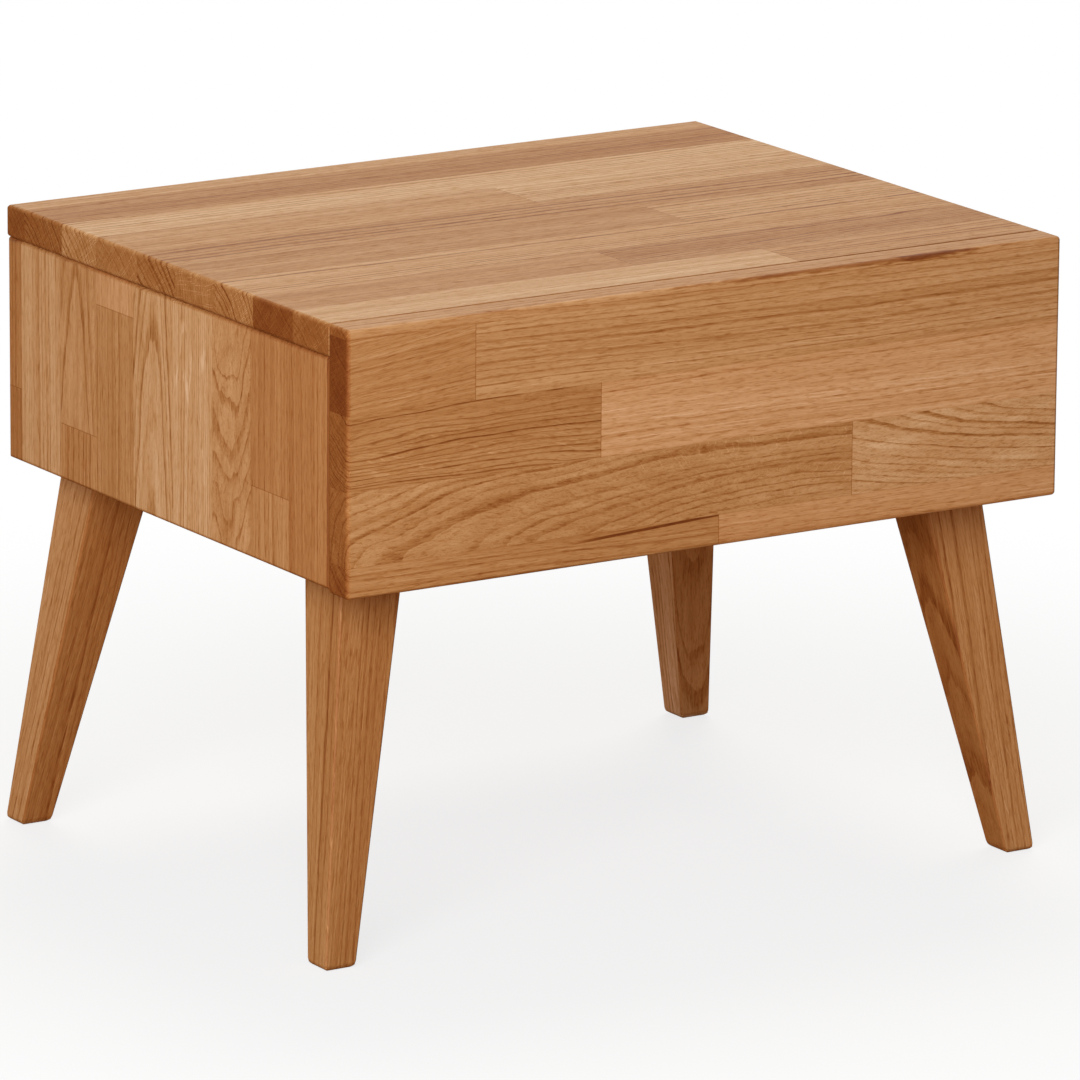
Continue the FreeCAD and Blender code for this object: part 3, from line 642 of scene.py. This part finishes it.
birch = wood_material("clear_birch", CLEAR_BIRCH)
beech = wood_material("plain_beech", PLAIN_BEECH)
BOX_END_TONE = 0.8
BOX_EASING = {"width": 0.5 * MM, "longer_than": 50 * MM}
BASE_EASING = {"width": 0.3 * MM, "longer_than": 50 * MM}
for end in ("front", "back"):
    node = f"drawer_box_{end}"
    make_board(node, "drawer", "drawer_wood", birch, whole_board(node, FACING, 0.02, 0.1, "rift"), FACING,
               BOX_END_TONE, **BOX_EASING)
for side in SIDES:
    node = f"drawer_{side}_side"
    make_board(node, "drawer", "drawer_wood", birch, whole_board(node, LENGTHWISE, 0, 0.2, "rift"), LENGTHWISE,
               BOX_END_TONE, **BOX_EASING)
    for place in ("top", "bottom"):
        node = f"{side}_{place}_tongue"
        make_board(node, "carcass", "tongue_wood", beech, whole_board(node, EDGEWISE), EDGEWISE)
make_board("drawer_base", "drawer", "base_board", birch, whole_board("drawer_base", FLAT, 0.1, 0.1, "flame"),
           FLAT, **BASE_EASING)


# Runners: rolled steel rails, moulded cages and their bearing balls

STEEL_CLOUDS = (90, 60, 90)
ZINC_GRAINS = 700.0
PLASTIC_CLOUDS = (120, 120, 120)
SKIN_DEPTH = 0.2 * MM


def toned(level, base):
    """A base colour made lighter or darker by a level that varies over the surface."""
    return level.node("ShaderNodeCombineColor", {}, {number: level * base[number] for number in range(3)})


def steel_material(name, base, roughness, drawn):
    """Bright zinc over steel, with the faint lines of rolling or turning along the way it was drawn."""
    material, shader, wire = new_material(name)
    place = wire.node("ShaderNodeTexCoord", output="Object")
    lines = place.stretched_noise(drawn, 3.0) - 0.5
    clouds = place.stretched_noise(STEEL_CLOUDS, 3.0) - 0.5
    grains = wire.node("ShaderNodeTexVoronoi", {"feature": "F1"}, {"Vector": place, "Scale": ZINC_GRAINS},
                       output="Color")
    spangle, _, _ = grains.parts()
    colour = toned(0.94 + lines * 0.12 + clouds * 0.14 + spangle * 0.07, base)
    height = lines + spangle * 0.2
    bump = wire.node("ShaderNodeBump", {}, {"Strength": 0.2, "Distance": SKIN_DEPTH, "Height": height})
    shader.inputs["Metallic"].default_value = 1.0
    plug(shader, Base_Color=colour, Roughness=roughness + clouds * 0.2 + lines * 0.12 + spangle * 0.06,
         Normal=bump)
    return material


def moulded_material(name, base, roughness, scale, bumpiness):
    """A moulded plastic or rubber with a fine eroded skin and a little unevenness of tone."""
    material, shader, wire = new_material(name)
    place = wire.node("ShaderNodeTexCoord", output="Object")
    skin = place.stretched_noise((scale, scale, scale), 3.0) - 0.5
    clouds = place.stretched_noise(PLASTIC_CLOUDS, 2.0) - 0.5
    colour = toned(1 + skin * 0.25 + clouds * 0.3, base)
    bump = wire.node("ShaderNodeBump", {}, {"Strength": bumpiness, "Distance": SKIN_DEPTH, "Height": skin})
    plug(shader, Base_Color=colour, Roughness=roughness + clouds * 0.2 + skin * 0.1, Normal=bump)
    return material


rolled_zinc = steel_material("rolled_zinc", (0.66, 0.67, 0.69), roughness=0.36, drawn=(900, 10, 900))
screw_zinc = steel_material("screw_zinc", (0.62, 0.62, 0.63), roughness=0.3, drawn=(500, 500, 500))
ball_steel = steel_material("ball_steel", (0.7, 0.7, 0.71), roughness=0.16, drawn=(200, 200, 200))
cage_plastic = moulded_material("cage_plastic", linear(34, 34, 37), roughness=0.5, scale=2500, bumpiness=0.25)
bumper_rubber = moulded_material("bumper_rubber", linear(176, 176, 171), roughness=0.55, scale=1800,
                                 bumpiness=0.15)


RAIL_EASING, CAGE_EASING, BUMPER_EASING = 0.35 * MM, 0.2 * MM, 0.6 * MM


def make_formed(node, body, slot, material, easing, longer_than=50 * MM):
    """A rolled or moulded piece in place of its node, with its long bends and edges rounded."""
    solid = merged_copy(node)
    ease_edges(solid, easing, longer_than=longer_than)
    formed = finished(f"{node}_formed", solid)
    formed.data.materials.append(material)
    belongs(formed, body, slot, node)


RAIL_BODIES = {"cabinet_rail": "carcass", "middle_rail": "middle_rails", "drawer_rail": "drawer"}
CAGE_BODIES = {"outer_cage": "outer_cages", "inner_cage": "inner_cages"}
for side in SIDES:
    for rail, body in RAIL_BODIES.items():
        make_formed(f"{side}_{rail}", body, "runner_steel", rolled_zinc, RAIL_EASING)
    for cage, body in CAGE_BODIES.items():
        make_formed(f"{side}_{cage}", body, "cage_plastic", cage_plastic, CAGE_EASING)


# Node trees for what repeats: each sets one shape on every point of a mesh, along the point's own direction

SPIN_SEED = 7


def new_tree(name, sizes):
    """A geometry tree with points, a finish and named sizes as its inputs; gives them as wires by name."""
    tree = bpy.data.node_groups.new(name, "GeometryNodeTree")
    kinds = {"Points": "Geometry", "Finish": "Material", **{size: "Float" for size in sizes}}
    for label, kind in kinds.items():
        tree.interface.new_socket(label, in_out="INPUT", socket_type=f"NodeSocket{kind}")
    tree.interface.new_socket("Made", in_out="OUTPUT", socket_type="NodeSocketGeometry")
    inputs = tree.nodes.new("NodeGroupInput")
    return {label: Wire(tree, inputs.outputs[label]) for label in kinds}


def end_tree(inputs, shape, spin=0.0):
    """Sets the shape on the points, turned about its own axis by up to the spin, and gives it its finish."""
    wire = inputs["Points"]
    way = wire.node("GeometryNodeInputNamedAttribute", {"data_type": "FLOAT_VECTOR"}, {"Name": "way"})
    facing = wire.node("FunctionNodeAlignRotationToVector", {"axis": "Z"}, {"Vector": way})
    chance = wire.node("FunctionNodeRandomValue", {"data_type": "FLOAT"}, {2: 0.0, 3: spin, "Seed": SPIN_SEED},
                       output=1)
    about = wire.node("ShaderNodeCombineXYZ", {}, {2: chance})
    spun = wire.node("FunctionNodeEulerToRotation", {}, {0: about})
    turned = wire.node("FunctionNodeRotateRotation", {"rotation_space": "LOCAL"}, {0: facing, 1: spun})
    placed = wire.node("GeometryNodeInstanceOnPoints", {},
                       {"Points": wire, "Instance": shape, "Rotation": turned})
    real = wire.node("GeometryNodeRealizeInstances", {}, {0: placed})
    dressed = wire.node("GeometryNodeSetMaterial", {}, {0: real, "Material": inputs["Finish"]})
    output = wire.tree.nodes.new("NodeGroupOutput")
    wire.tree.links.new(dressed.socket, output.inputs[0])
    return wire.tree


def drum(wire, sides, low_radius, high_radius, height, top):
    """A round or many-sided drum whose upper face is at the given height."""
    values = {"Vertices": sides, "Radius Bottom": low_radius, "Radius Top": high_radius, "Depth": height}
    raw = wire.node("GeometryNodeMeshCone", {"fill_type": "NGON"}, values, output="Mesh")
    lift = wire.node("ShaderNodeCombineXYZ", {}, {2: top - height})
    return wire.node("GeometryNodeTransform", {}, {"Geometry": raw, "Translation": lift})


def combined(operation, first, second):
    """Two closed shapes joined or cut by each other, as one closed shape."""
    settings = {"operation": operation, "solver": "EXACT"}
    shapes = {0: first, 1: second}
    if operation == "UNION":
        shapes = {1: first.joined(second), "Self Intersection": True}
    return first.node("GeometryNodeMeshBoolean", settings, shapes)


# A screw's proportions: the neck's share of its length, how far the neck laps into the head, and how wide the
# dish of the head, both ends of the tip and a bar of the cross are
NECK_SHARE, LAP = 0.8, 0.2
DISH, TIP_START, TIP_END, BAR = 0.75, 0.97, 0.25, 0.5
HEAD_SIDES, SHANK_SIDES, SOCKET_SIDES = 28, 16, 6
SCREW_SIZES = ["Head Radius", "Head Height", "Shank Radius", "Length", "Drive Radius", "Drive Depth"]


def screw_tree(name, drive):
    """A screw with its head's top on its point: a dished head with its drive, a neck and a tapered tip."""
    inputs = new_tree(name, SCREW_SIZES)
    wire = inputs["Points"]
    radius, height, shank, length, bit, depth = (inputs[size] for size in SCREW_SIZES)
    lap = height * LAP
    neck_length = length * NECK_SHARE
    head = drum(wire, HEAD_SIDES, radius, radius * DISH, height, wire.node("ShaderNodeValue"))
    neck = drum(wire, SHANK_SIDES, shank, shank, neck_length + lap, lap - height)
    tip = drum(wire, SHANK_SIDES, shank * TIP_END, shank * TIP_START, length * (1 - NECK_SHARE) + lap,
               lap - height - neck_length)
    screw = combined("UNION", combined("UNION", head, neck), tip)
    if drive == "cross":
        # One bar is a little shallower, so that no two cut faces lie in one plane
        for width, breadth, reach in ((2, BAR, 2), (BAR, 2, 1.9)):
            size = wire.node("ShaderNodeCombineXYZ", {}, {0: bit * width, 1: bit * breadth, 2: depth * reach})
            bar = wire.node("GeometryNodeMeshCube", {}, {"Size": size}, output="Mesh")
            screw = combined("DIFFERENCE", screw, bar)
    else:
        screw = combined("DIFFERENCE", screw, drum(wire, SOCKET_SIDES, bit, bit, depth * 2, depth))
    return end_tree(inputs, screw, spin=math.pi)


def grown(name, tree, places, ways, material, **sizes):
    """Runs a tree on points with directions, and gives what it makes as an object with a plain mesh."""
    points = bpy.data.meshes.new(name)
    points.from_pydata(places, [], [])
    layer = points.attributes.new("way", "FLOAT_VECTOR", "POINT")
    layer.data.foreach_set("vector", [number for way in ways for number in way])
    made = bpy.data.objects.new(name, points)
    bpy.context.scene.collection.objects.link(made)
    maker = made.modifiers.new("make", "NODES")
    maker.node_group = tree
    values = {"Finish": material, **{size.replace("_", " ").title(): value for size, value in sizes.items()}}
    for item in tree.interface.items_tree:
        if item.name in values:
            maker[item.identifier] = values[item.name]
    plain_mesh(made, name)
    smoothed(made.data)
    return made


def solid_boxes(node):
    """The lowest and highest corner of each separate solid of a node."""
    solid = merged_copy(node)
    left_over = set(solid.verts)
    boxes = []
    while left_over:
        reached = [left_over.pop()]
        for vertex in reached:
            for edge in vertex.link_edges:
                other = edge.other_vert(vertex)
                if other in left_over:
                    left_over.discard(other)
                    reached.append(other)
        spots = [vertex.co for vertex in reached]
        boxes.append([Vector(pick(spot[axis] for spot in spots) for axis in (X, Y, Z)) for pick in (min, max)])
    solid.free()
    return sorted(boxes, key=lambda box: tuple(box[0]))


# Screws and bearing balls, in the places of the solids that they stand for

CROSS_SCREW = {"head_height": 1.5 * MM, "drive_depth": 1 * MM}
RAIL_SCREW = {"head_radius": 3.5 * MM, "shank_radius": 1.75 * MM, "drive_radius": 1.7 * MM, **CROSS_SCREW}
FRONT_SCREW = {"head_radius": 4 * MM, "shank_radius": 2 * MM, "drive_radius": 2 * MM, **CROSS_SCREW}
LEG_SCREW = {"head_radius": 8 * MM, "head_height": 3.5 * MM, "shank_radius": 3.5 * MM,
             "drive_radius": 2.887 * MM, "drive_depth": 1.75 * MM}
cross_screw = screw_tree("cross_screw", "cross")
socket_screw = screw_tree("socket_screw", "socket")


def make_screws(node, body, tree, axis, facing, sizes):
    """All screws of a node; facing gives the way that the heads look along their axis from a screw's middle."""
    places, ways = [], []
    for low, high in solid_boxes(node):
        place = (low + high) / 2
        way = Vector((0, 0, 0))
        way[axis] = facing(place)
        place[axis] = high[axis] if way[axis] > 0 else low[axis]
        places.append(place)
        ways.append(way)
    length = high[axis] - low[axis] - sizes["head_height"]
    screws = grown(f"{node}_turned", tree, places, ways, screw_zinc, length=length, **sizes)
    belongs(screws, body, "fastener_steel", node)


def side_of(place):
    """-1 on the left, 1 on the right."""
    return math.copysign(1, place.x)


make_screws("cabinet_rail_screws", "carcass", cross_screw, X, lambda place: -side_of(place), RAIL_SCREW)
make_screws("drawer_rail_screws", "drawer", cross_screw, X, side_of, RAIL_SCREW)
make_screws("drawer_front_screws", "drawer", cross_screw, Y, lambda place: 1, FRONT_SCREW)
make_screws("leg_screws", "carcass", socket_screw, Z, lambda place: 1, LEG_SCREW)

BALL_RADIUS = 1.5 * MM
BALLS_IN_ROW = 9
ROW_MARGIN = 6 * MM
ROW_INSET = 0.9 * MM
OUTER_BALL_DEPTH, INNER_BALL_DEPTH = 1.7 * MM, 1.3 * MM
ball_inputs = new_tree("ball", ["Radius"])
ball_shape = ball_inputs["Points"].node("GeometryNodeMeshIcoSphere", {},
                                        {"Radius": ball_inputs["Radius"], "Subdivisions": 2}, output="Mesh")
ball_tree = end_tree(ball_inputs, ball_shape)


def make_balls(cage, body, from_face):
    """Two rows of balls in each of the pair of cages, at a depth from the face that looks to the drawer."""
    places = []
    for side, hand in SIDES.items():
        low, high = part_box(f"{side}_{cage}")
        face = max(low.x, high.x) if hand < 0 else min(low.x, high.x)
        step = (high.y - low.y - 2 * ROW_MARGIN) / (BALLS_IN_ROW - 1)
        for height in (low.z + ROW_INSET, high.z - ROW_INSET):
            for number in range(BALLS_IN_ROW):
                places.append((face + hand * from_face, low.y + ROW_MARGIN + number * step, height))
    balls = grown(f"{cage}_balls", ball_tree, places, [(0, 0, 1)] * len(places), ball_steel, radius=BALL_RADIUS)
    belongs(balls, body, "runner_steel")


make_balls("outer_cage", "outer_cages", OUTER_BALL_DEPTH)
make_balls("inner_cage", "inner_cages", INNER_BALL_DEPTH)
make_formed("front_bumpers", "drawer", "bumper_rubber", bumper_rubber, BUMPER_EASING, longer_than=0)


# Studio: white ground and surroundings, soft light

WHITE = (1, 1, 1, 1)
WORLD_LIGHT = 0.17
MIRRORED_LIGHT = 0.55
FLOOR_RADIUS, FLOOR_SIDES = 12, 64
FLOOR_DROP = 0.2 * MM
FLOOR_ROUGHNESS, FLOOR_SHINE = 0.9, 0.1
FLOOR_COLOUR = (0.93, 0.93, 0.93, 1)
FLOOR_BOUNCE = (0.36, 0.18, 0.05, 1)
# How white the floor is made around the object, and between which distances it turns all white
WHITENED = 0.78
ALL_WHITE_FROM = (0.3, 0.9)
Lamp = namedtuple("Lamp", "place target size power colour")
LAMPS = {
    "key": Lamp((-2.3, -2.3, 1.5), (0, 0, 0.25), size=2.4, power=98, colour=(1, 1, 1)),
    "back": Lamp((0.9, 1.2, 3.2), (0, 0, 0.2), size=1.6, power=43, colour=(1, 0.96, 0.86)),
}
CAMERA_PLACE = (-2.9483, -4.6691, 1.5848)
CAMERA_TURN, CAMERA_DIP, CAMERA_ROLL = math.radians(32.348), math.radians(14.190), math.radians(0.396)
LENS, SENSOR = 311.8, 36


def light_path(wire, kind):
    """1 for the rays of one kind, 0 for all others."""
    path = wire.node("ShaderNodeLightPath").socket.node
    return Wire(wire.tree, path.outputs[kind])


def make_world():
    """White to the camera, and dimmer as a light and in reflections."""
    world = bpy.data.worlds.new("studio")
    world.use_nodes = True
    bpy.context.scene.world = world
    wire = Wire(world.node_tree)
    seen = light_path(wire, "Is Camera Ray")
    mirrored = light_path(wire, "Is Glossy Ray")
    background = world.node_tree.nodes["Background"]
    background.inputs["Color"].default_value = WHITE
    strength = WORLD_LIGHT + seen * (1 - WORLD_LIGHT) + mirrored * (MIRRORED_LIGHT - WORLD_LIGHT)
    wire.tree.links.new(strength.socket, background.inputs["Strength"])


def make_floor():
    """A round floor, white to the camera but for the shadow, which throws back a warm light."""
    ground = bmesh.new()
    bmesh.ops.create_circle(ground, cap_ends=True, segments=FLOOR_SIDES, radius=FLOOR_RADIUS)
    mesh = bpy.data.meshes.new("floor")
    ground.to_mesh(mesh)
    ground.free()
    floor = bpy.data.objects.new("floor", mesh)
    floor.location.z = -FLOOR_DROP
    bpy.context.scene.collection.objects.link(floor)
    material, shader, wire = new_material("pale_floor")
    shader.inputs["Roughness"].default_value = FLOOR_ROUGHNESS
    shader.inputs["Specular IOR Level"].default_value = FLOOR_SHINE
    seen = light_path(wire, "Is Camera Ray")
    shades = {0: seen, 6: FLOOR_BOUNCE, 7: FLOOR_COLOUR}
    plug(shader, Base_Color=wire.node("ShaderNodeMix", {"data_type": "RGBA"}, shades, output=2))
    place = wire.node("ShaderNodeTexCoord", output="Object")
    away = place.vectors("LENGTH", place, output="Value").rise(*ALL_WHITE_FROM)
    whiteness = WHITENED + (1 - WHITENED) * away
    white = wire.node("ShaderNodeEmission", {}, {"Color": WHITE, "Strength": 1.0})
    lit = Wire(wire.tree, shader.outputs[0])
    mixed = wire.node("ShaderNodeMixShader", {}, {0: whiteness * seen, 1: lit, 2: white})
    output = material.node_tree.nodes["Material Output"]
    wire.tree.links.new(mixed.socket, output.inputs["Surface"])
    mesh.materials.append(material)


def make_lamp(name, lamp):
    """A round soft lamp that looks at its target."""
    light = bpy.data.lights.new(name, "AREA")
    light.color = lamp.colour
    light.shape = "DISK"
    light.size = lamp.size
    light.energy = lamp.power
    hung = bpy.data.objects.new(name, light)
    hung.location = lamp.place
    hung.rotation_euler = (Vector(lamp.target) - Vector(lamp.place)).to_track_quat("-Z", "Y").to_euler()
    bpy.context.scene.collection.objects.link(hung)


def make_camera():
    """The photo's own view, fitted to the corners of the cabinet: a long lens from the left, a little above."""
    level = math.cos(CAMERA_DIP)
    look = Vector((math.sin(CAMERA_TURN) * level, math.cos(CAMERA_TURN) * level, -math.sin(CAMERA_DIP)))
    camera = bpy.data.cameras.new("camera")
    camera.sensor_fit = "HORIZONTAL"
    camera.sensor_width = SENSOR
    camera.lens = LENS
    held = bpy.data.objects.new("camera", camera)
    held.location = CAMERA_PLACE
    held.rotation_euler = (look.to_track_quat("-Z", "Y") @ Quaternion((0, 0, 1), CAMERA_ROLL)).to_euler()
    bpy.context.scene.collection.objects.link(held)
    bpy.context.scene.camera = held


make_world()
make_floor()
for name, lamp in LAMPS.items():
    make_lamp(name, lamp)
make_camera()
bpy.context.scene.view_settings.view_transform = "Standard"
